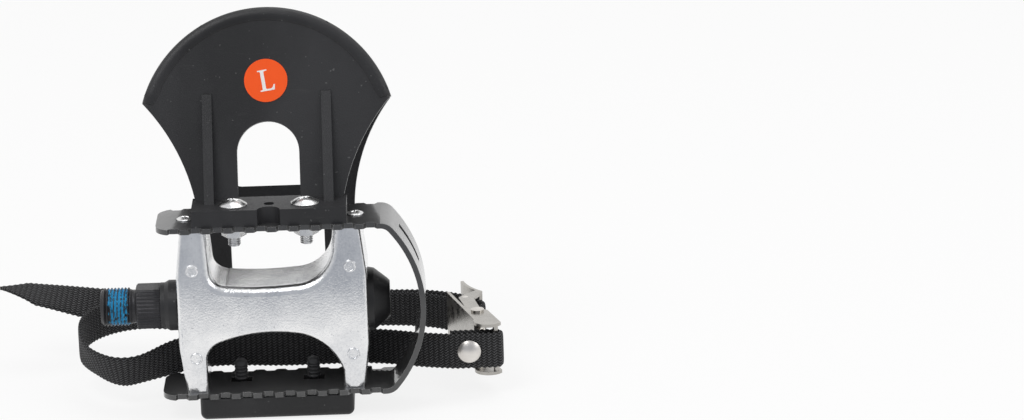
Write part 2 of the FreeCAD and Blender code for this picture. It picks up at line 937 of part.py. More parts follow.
def buckle_frame():
    cheek = face(
        buckle(0, bail_r * 2.2, 0),
        (buckle(pivot_w, pivot_m + boss_r * 1.5, 0),),
        (buckle(pivot_w + boss_r * 1.5, pivot_m, 0),),
        (buckle(pivot_w + boss_r * 3, base_m, 0),),
        (buckle(pivot_w + boss_r * 3, base_m - plate_t, 0),),
        (buckle(base_start, base_m - plate_t, 0),),
        (buckle(-bail_r * 1.5, -bail_r * 1.5, 0), buckle(0, bail_r * 2.2, 0)),
    )
    low = cheek.copy()
    low.translate(Z * frame_low)
    high = cheek.copy()
    high.translate(Z * (frame_high - plate_t))
    base = polygon([
        buckle(base_start, base_m, frame_low),
        buckle(base_end, base_m, frame_low),
        buckle(base_end, base_m - plate_t, frame_low),
        buckle(base_start, base_m - plate_t, frame_low),
    ]).extrude(Z * (frame_high - frame_low))
    bail = rod(buckle(0, 0, frame_low), Z, bail_r, frame_high - frame_low)
    frame = base.fuse([low.extrude(Z * plate_t), high.extrude(Z * plate_t), bail])
    hole = rod(buckle(pivot_w, pivot_m, frame_low), Z, pivot_r + press_gap, frame_high - frame_low)
    return frame.cut(hole)


def lever_pivot():
    start = buckle(pivot_w, pivot_m, frame_low - pivot_head_h)
    length = frame_high - frame_low + 2 * pivot_head_h
    pin = rod(start, Z, pivot_r, length)
    heads = [
        rod(start, Z, pivot_head_r, pivot_head_h),
        rod(start + Z * (length - pivot_head_h), Z, pivot_head_r, pivot_head_h),
    ]
    return pin.fuse(heads)


def lever_ear(z):
    flat = face(
        buckle(pivot_w, pivot_m - boss_r, z),
        (buckle(pivot_w - boss_r, pivot_m, z), buckle(pivot_w, pivot_m + boss_r, z)),
        (buckle(roller_w - boss_r, boss_r, z),),
        (buckle(tab_start, tab_m + plate_t, z),),
        (buckle(tab_start + boss_r, tab_m, z),),
        (buckle(roller_w + boss_r, 0, z),),
        (buckle(roller_w, -boss_r, z),),
    )
    return flat.extrude(Z * plate_t)


def buckle_lever():
    tab = face(
        buckle(tab_start, tab_m, lever_low),
        (buckle((tab_start + tab_end) / 2, tab_m - tab_dip, lever_low), buckle(tab_end, tab_end_m, lever_low)),
        (buckle(tab_end, tab_end_m + plate_t, lever_low),),
        (buckle((tab_start + tab_end) / 2, tab_m + plate_t - tab_dip, lever_low),
         buckle(tab_start, tab_m + plate_t, lever_low)),
    ).extrude(Z * (lever_high - lever_low))
    lever = tab.fuse([lever_ear(lever_low), lever_ear(lever_high - plate_t)])
    depth = lever_high - lever_low
    holes = [
        rod(buckle(pivot_w, pivot_m, lever_low), Z, pivot_r + pivot_gap, depth),
        rod(buckle(roller_w, 0, lever_low), Z, roller_pin_r + press_gap, depth),
    ]
    return lever.cut(holes)


def roller_pin():
    return rod(buckle(roller_w, 0, lever_low), Z, roller_pin_r, lever_high - lever_low)


def lever_roller():
    low = strap_low
    start = buckle(roller_w, 0, low)
    return rod(start, Z, roller_r, strap_w).cut(rod(start, Z, roller_pin_r + pivot_gap, strap_w))


def lever_spring():
    height = spring_pitch * spring_turns
    helix = Part.makeHelix(spring_pitch, height, spring_r)
    ring = Part.makeCircle(spring_wire_r, point(spring_r, 0, 0), Y)
    sweep = Part.BRepOffsetAPI.MakePipeShell(Part.Wire(helix.Edges))
    sweep.setFrenetMode(True)
    sweep.add(Part.Wire([ring]))
    sweep.build()
    sweep.makeSolid()
    coil = sweep.shape()
    coil.translate(buckle(pivot_w, pivot_m, strap_high - height - spring_end_gap))
    return coil


save("spindle", spindle())
save("seal_sleeve", seal_sleeve())
save("inner_cup", cup(inner_cup_x, inner_cup_x + cup_len, inner_cup_x + cup_len + cup_lip))
save("outer_cup", cup(outer_cup_x + cup_len, outer_cup_x, outer_cup_x - cup_lip))
save("inner_balls", ball_set(inner_cup_x + cup_len - ball_r - race_gap))
save("outer_balls", ball_set(outer_cup_x + ball_r + race_gap))
save("outer_cone", outer_cone())
save("lock_washer", lock_washer())
save("lock_nut", lock_nut())
save("end_cap", end_cap())
save("body", body())
save("cage", cage())
save("cage_screws", group([countersunk(x, sign, 0) for x, sign in cage_screw_places()]))
save("toe_clip", toe_clip())
save("toe_clip_screws", group([toe_clip_screw(-1), toe_clip_screw(1)]))
save("toe_clip_nuts", group([toe_clip_nut(-1), toe_clip_nut(1)]))
save("side_sticker", side_sticker())
save("reflector", reflector())
save("strap", strap())
save("strap_rivet", strap_rivet())
save("buckle_frame", buckle_frame())
save("lever_pivot", lever_pivot())
save("buckle_lever", buckle_lever())
save("roller_pin", roller_pin())
save("lever_roller", lever_roller())
save("lever_spring", lever_spring())
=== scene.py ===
import json
import math

import bmesh
import bpy
import numpy as np
from mathutils import Matrix, Vector

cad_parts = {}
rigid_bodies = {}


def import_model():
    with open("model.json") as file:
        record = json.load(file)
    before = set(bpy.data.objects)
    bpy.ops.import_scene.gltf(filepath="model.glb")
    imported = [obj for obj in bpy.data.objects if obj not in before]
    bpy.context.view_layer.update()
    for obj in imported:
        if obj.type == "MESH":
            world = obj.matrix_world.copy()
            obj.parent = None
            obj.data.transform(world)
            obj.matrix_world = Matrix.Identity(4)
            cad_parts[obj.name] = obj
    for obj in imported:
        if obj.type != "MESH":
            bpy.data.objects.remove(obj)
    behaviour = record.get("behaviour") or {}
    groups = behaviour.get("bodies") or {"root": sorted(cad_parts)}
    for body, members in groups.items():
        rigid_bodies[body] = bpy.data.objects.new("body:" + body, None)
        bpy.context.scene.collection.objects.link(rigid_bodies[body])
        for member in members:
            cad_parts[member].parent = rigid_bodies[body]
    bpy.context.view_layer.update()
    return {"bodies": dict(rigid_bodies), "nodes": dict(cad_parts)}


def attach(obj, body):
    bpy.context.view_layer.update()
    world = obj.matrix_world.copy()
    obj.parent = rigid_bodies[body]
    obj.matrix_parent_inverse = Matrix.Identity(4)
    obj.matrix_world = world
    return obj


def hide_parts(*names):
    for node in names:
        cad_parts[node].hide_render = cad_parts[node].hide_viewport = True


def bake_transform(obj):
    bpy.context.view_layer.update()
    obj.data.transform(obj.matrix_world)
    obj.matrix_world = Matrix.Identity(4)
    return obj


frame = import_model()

nodes = frame["nodes"]
kept = set(o.name for o in list(nodes.values()) + list(frame["bodies"].values()))
for extra in [o for o in bpy.data.objects if o.name not in kept]:
    bpy.data.objects.remove(extra, do_unlink=True)

MM = 0.001

# Places on the CAD part, in millimetres
MID_X = 52.6
THREAD_END_X = -11.3
CAGE_OUT_Z = 33.0
FRONT_SCREW_X, REAR_SCREW_X = 31.3, 28.2
MARK_X, MARK_Y, MARK_Z = 29.0, -13.38, 17.0
STUD_X, STUD_Y = 13.5, 3.0
FOLD_X, FOLD_Y = MID_X + 81.8, 7.2
STRAP_Z = -23.6
BUCKLE_TURN = math.radians(16.2)
BLOCK_TOP_Z = 39.2
CLIP_SCREW_X, CLIP_SCREW_Y = 13.3, -4.0
CLIP_FOOT_Y = 2.7
CLIP_LEAN = math.radians(20.0)
FAN_CENTRE_V, FAN_R = 23.0, 48.0
STICKER_V = 43.6

# The stage, in metres
FLOOR_Z = -41.8 * MM
FLOOR_FRONT, FLOOR_REACH = -0.155, 3
AIM = (0.06, 0.02, 0.02)


# Materials

class Surface:
    """A procedural material, built up from its nodes. Textures use the part's own metres."""

    def __init__(self, name, metallic=0.0, specular=0.5):
        self.material = bpy.data.materials.new(name)
        self.material.use_nodes = True
        self.tree = self.material.node_tree
        self.shader = self.tree.nodes["Principled BSDF"]
        self.shader.inputs["Metallic"].default_value = metallic
        self.shader.inputs["Specular IOR Level"].default_value = specular
        self.place = self.node("ShaderNodeTexCoord").outputs["Object"]
        self.normal = None

    def node(self, kind, **settings):
        made = self.tree.nodes.new(kind)
        for key, value in settings.items():
            setattr(made, key, value)
        return made

    def feed(self, socket, value):
        if isinstance(value, bpy.types.NodeSocket):
            self.tree.links.new(value, socket)
        else:
            socket.default_value = value

    def noise(self, scale, detail=3.0, rough=0.5, vector=None):
        made = self.node("ShaderNodeTexNoise")
        self.feed(made.inputs["Vector"], vector or self.place)
        made.inputs["Scale"].default_value = scale
        made.inputs["Detail"].default_value = detail
        made.inputs["Roughness"].default_value = rough
        return made.outputs[0]

    def stretch(self, x, y, z):
        made = self.node("ShaderNodeMapping")
        self.feed(made.inputs["Vector"], self.place)
        made.inputs["Scale"].default_value = (x, y, z)
        return made.outputs[0]

    def span(self, value, low, high, to_low, to_high):
        made = self.node("ShaderNodeMapRange")
        self.feed(made.inputs[0], value)
        for i, number in enumerate((low, high, to_low, to_high)):
            made.inputs[i + 1].default_value = number
        return made.outputs[0]

    def maths(self, operation, a, b=0.0):
        made = self.node("ShaderNodeMath", operation=operation)
        self.feed(made.inputs[0], a)
        self.feed(made.inputs[1], b)
        return made.outputs[0]

    def colours(self, factor, a, b):
        made = self.node("ShaderNodeMix", data_type="RGBA")
        self.feed(made.inputs[0], factor)
        self.feed(made.inputs[6], a if isinstance(a, bpy.types.NodeSocket) else (*a, 1.0))
        self.feed(made.inputs[7], b if isinstance(b, bpy.types.NodeSocket) else (*b, 1.0))
        return made.outputs[2]

    def axes(self, vector=None):
        made = self.node("ShaderNodeSeparateXYZ")
        self.feed(made.inputs[0], vector or self.place)
        return made.outputs

    def soften(self, radius):
        """Lets the sharp edges of a solid catch the light, and gives how near an edge is."""
        made = self.node("ShaderNodeBevel", samples=4)
        made.inputs["Radius"].default_value = radius
        self.normal = made.outputs[0]
        self.feed(self.shader.inputs["Normal"], self.normal)
        level = self.node("ShaderNodeVectorMath", operation="DOT_PRODUCT")
        self.feed(level.inputs[0], self.normal)
        self.feed(level.inputs[1], self.node("ShaderNodeNewGeometry").outputs["Normal"])
        return self.span(level.outputs["Value"], 0.99, 0.8, 0.0, 1.0)

    def bump(self, height, strength, distance):
        made = self.node("ShaderNodeBump")
        made.inputs["Strength"].default_value = strength
        made.inputs["Distance"].default_value = distance
        self.feed(made.inputs["Height"], height)
        if self.normal:
            self.feed(made.inputs["Normal"], self.normal)
        self.normal = made.outputs[0]
        self.feed(self.shader.inputs["Normal"], self.normal)

    def set(self, name, value):
        self.feed(self.shader.inputs[name], value)


def cast_aluminium():
    s = Surface("cast_aluminium_finish", metallic=1.0)
    cloud = s.noise(70.0, 4.0, 0.6)
    sand = s.noise(1300.0, 3.0, 0.7)
    pits = s.span(s.noise(900.0, 2.0, 0.5), 0.68, 0.76, 0.0, 1.0)
    scratch = s.span(s.noise(260.0, 3.0, 0.6, s.stretch(0.25, 1.0, 3.0)), 0.66, 0.72, 0.0, 1.0)
    base = s.colours(s.span(cloud, 0.35, 0.65, 0.0, 1.0), (0.64, 0.65, 0.67), (0.86, 0.86, 0.86))
    grain = s.colours(s.span(sand, 0.3, 0.7, 0.0, 0.5), base, (0.93, 0.93, 0.93))
    marked = s.colours(s.maths("MULTIPLY", pits, 0.5), grain, (0.4, 0.4, 0.42))
    s.set("Base Color", s.colours(s.maths("MULTIPLY", scratch, 0.16), marked, (0.5, 0.5, 0.52)))
    s.set("Roughness", s.span(cloud, 0.3, 0.7, 0.1, 0.2))
    s.bump(sand, 0.5, 0.0002)
    s.bump(pits, 0.2, -0.00015)
    return s.material


def gloss_paint():
    s = Surface("black_paint_finish", specular=0.5)
    edge = s.soften(0.0003)
    peel = s.noise(420.0, 2.0)
    dust = s.span(s.noise(2600.0, 2.0), 0.62, 0.7, 0.0, 0.12)
    edge_glint_patches = s.span(s.noise(300.0, 3.0), 0.4, 0.6, 0.15, 0.75)
    cloud = s.noise(70.0, 3.0)
    base = s.colours(cloud, (0.032, 0.032, 0.0327), (0.046, 0.046, 0.047))
    dusty = s.colours(dust, base, (0.14, 0.14, 0.14))
    # Painted highlight: near the sharp edges the colour turns light grey, in patches broken up by noise.
    s.set("Base Color", s.colours(s.maths("MULTIPLY", edge, edge_glint_patches), dusty, (0.5, 0.5, 0.5)))
    s.set("Roughness", s.span(cloud, 0.3, 0.7, 0.3, 0.44))
    s.shader.inputs["Coat Weight"].default_value = 0.9
    s.shader.inputs["Coat Roughness"].default_value = 0.08
    s.bump(peel, 0.12, 0.0004)
    return s.material


def moulded_plastic(name, light=1.0, rough=0.46):
    s = Surface(name, specular=0.36)
    grain = s.noise(1900.0, 3.0, 0.6)
    flow = s.noise(30.0, 4.0, 0.55, s.stretch(1.0, 1.0, 0.35))
    scuff = s.span(s.noise(160.0, 5.0, 0.7, s.stretch(0.4, 1.0, 2.4)), 0.6, 0.72, 0.0, 0.1)
    specks = s.span(s.noise(620.0, 1.0), 0.745, 0.775, 0.0, 0.2)
    low = (0.011 * light, 0.011 * light, 0.0118 * light)
    high = (0.02 * light, 0.02 * light, 0.0215 * light)
    base = s.colours(s.span(flow, 0.35, 0.65, 0.0, 1.0), low, high)
    rubbed = s.colours(scuff, base, (0.09, 0.09, 0.09))
    s.set("Base Color", s.colours(specks, rubbed, (0.3, 0.3, 0.3)))
    s.set("Roughness", s.span(grain, 0.3, 0.7, rough - 0.06, rough + 0.1))
    s.bump(grain, 0.2, 0.0003)
    s.bump(flow, 0.1, 0.002)
    return s.material


def plated(name, dark, light, low, high, scale=120.0):
    s = Surface(name, metallic=1.0)
    cloud = s.noise(scale, 4.0, 0.6)
    fine = s.noise(1800.0, 2.0)
    s.set("Base Color", s.colours(s.span(cloud, 0.35, 0.65, 0.0, 1.0), dark, light))
    s.set("Roughness", s.span(cloud, 0.3, 0.7, low, high))
    s.bump(fine, 0.04, 0.0001)
    return s.material


def locked_thread():
    """Black steel with a patch of blue thread-lock on the crank thread."""
    s = Surface("thread_lock_finish", metallic=0.55, specular=0.4)
    cloud = s.noise(160.0, 4.0, 0.6)
    fine = s.noise(1500.0, 3.0, 0.6)
    base = s.colours(cloud, (0.022, 0.022, 0.025), (0.055, 0.054, 0.058))
    rough = s.span(fine, 0.3, 0.7, 0.34, 0.52)
    axes = s.axes()
    radius = s.maths("SQRT", s.maths("ADD", s.maths("MULTIPLY", axes[1], axes[1]),
                                     s.maths("MULTIPLY", axes[2], axes[2])))
    wander = s.span(s.noise(420.0, 3.0), 0.3, 0.7, -0.0011, 0.0011)
    x = s.maths("ADD", axes[0], wander)
    start = s.span(x, -0.0084, -0.0079, 0.0, 1.0)
    end = s.span(x, -0.0018, -0.0012, 1.0, 0.0)
    crest = s.span(s.maths("ADD", radius, s.span(s.noise(900.0, 2.0), 0.3, 0.7, -0.00022, 0.00022)),
                   0.00695, 0.00706, 1.0, 0.0)
    holes = s.span(s.noise(560.0, 3.0, 0.6), 0.36, 0.42, 0.0, 1.0)
    patch = s.maths("MULTIPLY", s.maths("MULTIPLY", start, end), s.maths("MULTIPLY", crest, holes))
    blue = s.colours(s.noise(700.0, 3.0), (0.012, 0.20, 0.42), (0.045, 0.42, 0.72))
    base = s.colours(patch, base, blue)
    s.set("Metallic", s.span(patch, 0.0, 1.0, 0.55, 0.0))
    s.bump(patch, 0.4, 0.0002)
    s.set("Base Color", base)
    s.set("Roughness", rough)
    s.bump(fine, 0.16, 0.0002)
    return s.material


def orange_film():
    s = Surface("orange_film_finish", specular=0.15)
    cloud = s.noise(140.0, 3.0)
    s.set("Base Color", s.colours(cloud, (0.96, 0.1, 0.016), (1.0, 0.125, 0.025)))
    s.set("Roughness", s.span(s.noise(900.0, 2.0), 0.3, 0.7, 0.34, 0.48))
    s.bump(s.noise(260.0, 2.0), 0.05, 0.0004)
    return s.material


def white_print():
    s = Surface("white_print_finish", specular=0.4)
    s.set("Base Color", s.colours(s.noise(500.0, 3.0), (0.82, 0.80, 0.78), (0.92, 0.91, 0.9)))
    s.set("Roughness", s.span(s.noise(900.0, 2.0), 0.3, 0.7, 0.4, 0.55))
    return s.material


def webbing():
    s = Surface("webbing_finish", specular=0.25)
    uv = s.node("ShaderNodeUVMap", uv_map="weave").outputs[0]
    along, across, _ = s.axes(uv)
    column = s.maths("MULTIPLY", along, 2.0 * math.pi / 0.0020)
    slant = s.maths("MULTIPLY", s.maths("SINE", column), 1.7)
    strand = s.maths("SINE", s.maths("ADD", s.maths("MULTIPLY", across, 2.0 * math.pi / 0.00105), slant))
    ridge = s.maths("MULTIPLY", s.maths("ADD", s.maths("COSINE", column), 1.0), 0.5)
    weave = s.maths("MULTIPLY", s.span(strand, -0.3, 0.9, 0.05, 1.0), s.span(ridge, 0.05, 0.6, 0.35, 1.0))
    fuzz = s.noise(2400.0, 3.0, 0.7)
    wear = s.noise(60.0, 3.0)
    # Painted light and shade: the colour follows the weave, light grey on the strand crests as a painted
    # highlight and near black in the gaps as painted shade.
    strand_highlight_and_shade = s.maths("MULTIPLY", weave, s.span(fuzz, 0.3, 0.7, 0.6, 1.3))
    dark = s.colours(wear, (0.003, 0.003, 0.0032), (0.005, 0.005, 0.0053))
    s.set("Base Color", s.colours(strand_highlight_and_shade, dark, (0.11, 0.11, 0.115)))
    s.set("Roughness", s.span(fuzz, 0.3, 0.7, 0.62, 0.9))
    s.shader.inputs["Sheen Weight"].default_value = 0.06
    s.shader.inputs["Sheen Roughness"].default_value = 0.5
    s.bump(weave, 0.9, 0.0003)
    s.bump(fuzz, 0.25, 0.0001)
    return s.material


def floor_paint():
    """White where it is seen or mirrored, with a soft trace of the shadow."""
    s = Surface("floor_finish", specular=0.2)
    s.set("Base Color", s.colours(s.noise(3.0, 3.0), (0.90, 0.90, 0.90), (0.92, 0.92, 0.92)))
    s.set("Roughness", s.span(s.noise(40.0, 2.0), 0.3, 0.7, 0.75, 0.85))
    light = s.node("ShaderNodeLightPath")
    seen = s.maths("MAXIMUM", light.outputs["Is Camera Ray"],
                   s.maths("MAXIMUM", light.outputs["Is Glossy Ray"], light.outputs["Is Transmission Ray"]))
    glow = s.node("ShaderNodeEmission")
    glow.inputs["Color"].default_value = (1.0, 1.0, 1.0, 1.0)
    mix = s.node("ShaderNodeMixShader")
    s.feed(mix.inputs[0], s.maths("MULTIPLY", seen, 0.82))
    s.feed(mix.inputs[1], s.shader.outputs[0])
    s.feed(mix.inputs[2], glow.outputs[0])
    s.feed(s.tree.nodes["Material Output"].inputs["Surface"], mix.outputs[0])
    return s.material


ALUMINIUM = cast_aluminium()
PAINT = gloss_paint()
CLIP_PLASTIC = moulded_plastic("toe_clip_plastic", 1.45, 0.4)
CAP_PLASTIC = moulded_plastic("cap_plastic", 0.7, 0.36)
SLEEVE_PLASTIC = moulded_plastic("sleeve_plastic", 1.5, 0.42)
REFLECTOR_PLASTIC = moulded_plastic("reflector_plastic", 1.0, 0.4)
# The studs' plastic is painted 2.2 times lighter than the reflector's own black plastic, a painted highlight
# that lifts the studs and their ribs out of shade.
PAINTED_LIGHT_STUD_PLASTIC = moulded_plastic("stud_plastic_painted_light", 2.2, 0.32)
ZINC = plated("zinc_finish", (0.62, 0.62, 0.63), (0.86, 0.86, 0.85), 0.2, 0.32)
NICKEL = plated("nickel_finish", (0.58, 0.55, 0.51), (0.80, 0.77, 0.72), 0.12, 0.28)
DULL_NICKEL = plated("dull_nickel_finish", (0.37, 0.355, 0.33), (0.46, 0.443, 0.415), 0.2, 0.36, 220.0)
RIVET_NICKEL = plated("rivet_finish", (0.62, 0.59, 0.56), (0.8, 0.77, 0.73), 0.3, 0.42)
GROUND = plated("bearing_finish", (0.5, 0.5, 0.51), (0.72, 0.72, 0.73), 0.12, 0.22)
LOCKED = locked_thread()
FILM = orange_film()
PRINT = white_print()
WEBBING = webbing()

FINISH = {
    "seal_sleeve": SLEEVE_PLASTIC, "end_cap": CAP_PLASTIC, "body": ALUMINIUM, "cage": PAINT,
    "toe_clip": CLIP_PLASTIC, "reflector": REFLECTOR_PLASTIC, "toe_clip_nuts": ZINC,
    "side_sticker": FILM, "strap_rivet": RIVET_NICKEL,
}
for name in ("inner_cup", "outer_cup", "inner_balls", "outer_balls", "outer_cone", "lock_washer", "lock_nut"):
    FINISH[name] = GROUND
for name in ("lever_pivot", "roller_pin", "lever_roller", "lever_spring"):
    FINISH[name] = NICKEL
for name in ("buckle_frame", "buckle_lever"):
    FINISH[name] = DULL_NICKEL
for name, material in FINISH.items():
    for held in nodes[name].material_slots:
        held.material = material


# Mesh helpers

def new_object(name, points, faces, material, smooth=True):
    mesh = bpy.data.meshes.new(name)
    mesh.from_pydata([tuple(p) for p in points], [], faces)
    mesh.polygons.foreach_set("use_smooth", [smooth] * len(mesh.polygons))
    mesh.materials.append(material)
    mesh.update()
    made = bpy.data.objects.new(name, mesh)
    bpy.context.scene.collection.objects.link(made)
    return made


def grid_faces(rows, columns, first=0):
    """The faces between rows of points, each row a closed ring."""
    faces = []
    for i in range(rows - 1):
        for j in range(columns):
            k = (j + 1) % columns
            faces.append((first + i * columns + j, first + i * columns + k,
                          first + (i + 1) * columns + k, first + (i + 1) * columns + j))
    return faces


def merge(made):
    """Closes the poles of a turned grid and turns its faces outwards."""
    same_place = 0.000001
    work = bmesh.new()
    work.from_mesh(made.data)
    bmesh.ops.remove_doubles(work, verts=work.verts, dist=same_place)
    bmesh.ops.recalc_face_normals(work, faces=work.faces)
    work.to_mesh(made.data)
    work.free()
    made.data.update()
    return made


def smoothstep(value, low, high):
    """0 below low, 1 above high and an even S between them."""
    t = np.clip((np.asarray(value, float) - low) / (high - low), 0.0, 1.0)
    return t * t * (3.0 - 2.0 * t)


# Spindle

def spindle_piece():
    """The spindle turned about X, with its thread and a fluted collar with two flats."""
    turns = 320
    angle = np.linspace(0.0, 2.0 * math.pi, turns, endpoint=False)
    pitch, crest, root = 1.27, 7.14, 6.42
    rows = [(THREAD_END_X, np.zeros(turns)), (THREAD_END_X, np.full(turns, 5.4))]
    for x in np.arange(THREAD_END_X, 0.001, 0.113):
        phase = (x / pitch + angle / (2.0 * math.pi)) % 1.0
        tooth = np.clip(1.25 - 2.6 * np.abs(phase - 0.5), 0.0, 1.0)
        r = root + (crest - root) * tooth
        lead = 5.9 + (x - THREAD_END_X)
        fade = smoothstep(x, -1.0, 0.0)
        rows.append((x, np.minimum(r * (1.0 - fade) + root * fade, lead)))
    rows += [(0.15, np.full(turns, 6.25)), (1.75, np.full(turns, 6.2))]
    collar_r, flat_half, flutes, flute_depth = 8.9, 7.5, 40.0, 0.35
    flute = collar_r - flute_depth * (0.5 - 0.5 * np.cos(flutes * angle)) ** 0.7
    flat = flat_half / np.maximum(np.abs(np.sin(angle)), 1e-6)
    collar = np.minimum(flute, flat)
    rows += [(1.9, np.minimum(collar, 6.9)), (1.9, np.minimum(collar, 7.9)), (2.25, np.minimum(collar, 8.5)),
             (2.6, collar), (4.0, collar), (6.0, collar), (8.0, collar), (10.6, collar),
             (10.9, collar - 0.25), (10.9, np.full(turns, 7.4))]
    for x, r in ((17.1, 7.4), (17.5, 6.0), (24.5, 6.0), (25.5, 4.8), (76.7, 4.8), (76.7, 4.5), (87.2, 4.5),
                 (87.2, 0.0)):
        rows.append((x, np.full(turns, r)))
    points = []
    for x, r in rows:
        for a, radius in zip(angle, r):
            points.append((x * MM, radius * math.cos(a) * MM, radius * math.sin(a) * MM))
    return merge(new_object("threaded_spindle", points, grid_faces(len(rows), turns), LOCKED))


spindle = spindle_piece()
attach(spindle, "spindle")
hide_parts("spindle")


# Screws

def cross_depth(x, y, half_w, length, depth):
    """How deep a cross recess is at a place on a screw's head."""
    wall, end = 0.22, 0.5
    arm_x = smoothstep(half_w - np.abs(y), 0.0, wall) * smoothstep(length - np.abs(x), 0.0, end)
    arm_y = smoothstep(half_w - np.abs(x), 0.0, wall) * smoothstep(length - np.abs(y), 0.0, end)
    return depth * np.maximum(arm_x, arm_y)


def screw_points(centre, sign, head, shaft, recess, turn):
    """Rows of points from the middle of a head to the end of its shank, for heights along sign times Z."""
    turns, pitch = 112, 0.8
    angle = np.linspace(0.0, 2.0 * math.pi, turns, endpoint=False)
    points = []
    for r, h in head:
        depth = cross_depth(r * np.cos(angle + turn), r * np.sin(angle + turn), *recess)
        for a, d in zip(angle, depth):
            points.append((centre[0] + r * math.cos(a), centre[1] + r * math.sin(a),
                           centre[2] + sign * (h - d)))
    for r, h, thread in shaft:
        phase = (h / pitch + angle / (2.0 * math.pi)) % 1.0
        groove = thread * np.abs(2.0 * phase - 1.0)
        for a, g in zip(angle, groove):
            points.append((centre[0] + (r - g) * math.cos(a), centre[1] + (r - g) * math.sin(a),
                           centre[2] + sign * h))
    return [tuple(v * MM for v in p) for p in points], len(head) + len(shaft), turns


def screw_set(name, screws, material):
    points, faces = [], []
    for one, rows, turns in screws:
        faces += grid_faces(rows, turns, len(points))
        points += one
    return merge(new_object(name, points, faces, material))


def pan_head(radius, height):
    """Radius and height from the middle of a round head to its rim."""
    ball = (radius ** 2 + height ** 2) / (2.0 * height)
    rows = []
    for r in np.linspace(0.0, radius * 0.97, 34):
        rows.append((r, height - ball + math.sqrt(ball ** 2 - r ** 2)))
    return rows + [(radius, 0.28), (radius, 0.1), (radius - 0.15, 0.0)]


def clip_screws():
    """The toe clip's two pan-head screws, threaded where they leave the nuts."""
    shank_r, end_h, thread, recess = 2.4, -15.6, 0.42, (0.5, 2.2, 0.6)
    shaft = [(shank_r, 0.0, 0.0), (shank_r, -11.0, 0.0)]
    for h in np.arange(-11.4, -15.25, -0.1):
        shaft.append((shank_r, h, thread))
    shaft += [(2.1, -15.45, 0.1), (1.7, end_h, 0.0), (0.0, end_h, 0.0)]
    screws = []
    for side, turn in ((-1, 0.35), (1, -0.55)):
        centre = (MID_X + side * CLIP_SCREW_X, CLIP_SCREW_Y, BLOCK_TOP_Z)
        screws.append(screw_points(centre, 1, pan_head(5.3, 2.2), shaft, recess, turn))
    return screw_set("cross_recess_screws", screws, ZINC)


def cage_screws():
    """The cage's four screws, two in each plate, with low heads."""
    top_r, rim_r, recess = 3.0, 3.12, (0.4, 1.6, 0.35)
    head = [(r, 1.15 - 0.75 * (r / top_r) ** 2) for r in np.linspace(0.0, top_r, 30)]
    head += [(rim_r, 0.3), (rim_r, 0.0)]
    shaft = [(1.9, -2.0, 0.0), (1.9, -9.8, 0.0), (0.0, -10.0, 0.0)]
    screws = []
    for dx, sign, turn in ((-FRONT_SCREW_X, 1, 0.2), (FRONT_SCREW_X, 1, 1.0),
                           (-REAR_SCREW_X, -1, 0.5), (REAR_SCREW_X, -1, 0.1)):
        centre = (MID_X + dx, 0.0, sign * CAGE_OUT_Z)
        screws.append(screw_points(centre, sign, head, shaft, recess, turn))
    return screw_set("flush_cross_screws", screws, ZINC)


for piece, node in ((clip_screws(), "toe_clip_screws"), (cage_screws(), "cage_screws")):
    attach(piece, "pedal")
    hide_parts(node)


# Strap

def buckle(w, m):
    """A point of the buckle: w along its frame from the strap's fold, m across the frame."""
    return (FOLD_X - w * math.sin(BUCKLE_TURN) + m * math.cos(BUCKLE_TURN),
            FOLD_Y + w * math.cos(BUCKLE_TURN) + m * math.sin(BUCKLE_TURN), STRAP_Z)


def strap_route():
    """Points along the strap's middle line, from the riveted end round the pedal to the loose tip."""
    wrap, roller, in_m = 2.1, 38.8, -3.6
    near, far = FOLD_Y - wrap, FOLD_Y + wrap
    behind, band, tail = 15.3, 59.4, 61.8

    def at(dx, y, rise=0.0):
        return (MID_X + dx, y, STRAP_Z + rise)

    def fold(back, y):
        return (FOLD_X - back, y, STRAP_Z)
    bend = [(FOLD_X + wrap * math.cos(a), FOLD_Y + wrap * math.sin(a), STRAP_Z)
            for a in (math.pi / 2, math.pi / 4, 0.0, -math.pi / 4, -math.pi / 2)]
    return [fold(17, far), fold(10, far), fold(3, far)] + bend + [
        fold(3, near), fold(10, near), fold(15, near), fold(18, near + 0.6),
        at(54, 8.4), at(42, 13.0), at(30, behind), at(0, behind + 0.2), at(-31, behind), at(-46, 9.8, -2.4),
        at(-57, 5.6, -3.8), at(-67, 11.0, -2.6), at(-75, 28.0, 1.2), at(-70, 46.0, 2.6), at(-56, 57.0, 2.5),
        at(-40, band, 1.4), at(-30, band, 0.4), at(0, band), at(30, band), at(49, 57.8), at(58, 54.6),
        buckle(roller + 5, in_m - 0.2), buckle(roller, in_m), buckle(roller - 5, in_m + 1.2),
        buckle(roller - 7.5, 2.2), buckle(roller - 4.5, 6.0), buckle(roller, 5.6), buckle(roller + 5.5, 3.2),
        at(63, 57.2), at(52, 60.7), at(40, tail), at(25, tail), at(0, tail), at(-28, tail),
        at(-44, tail + 0.8, 0.8), at(-64, tail + 3.2, 2.6), at(-86, tail + 6.2, 4.4),
        at(-108, tail + 8.8, 5.6),
    ]


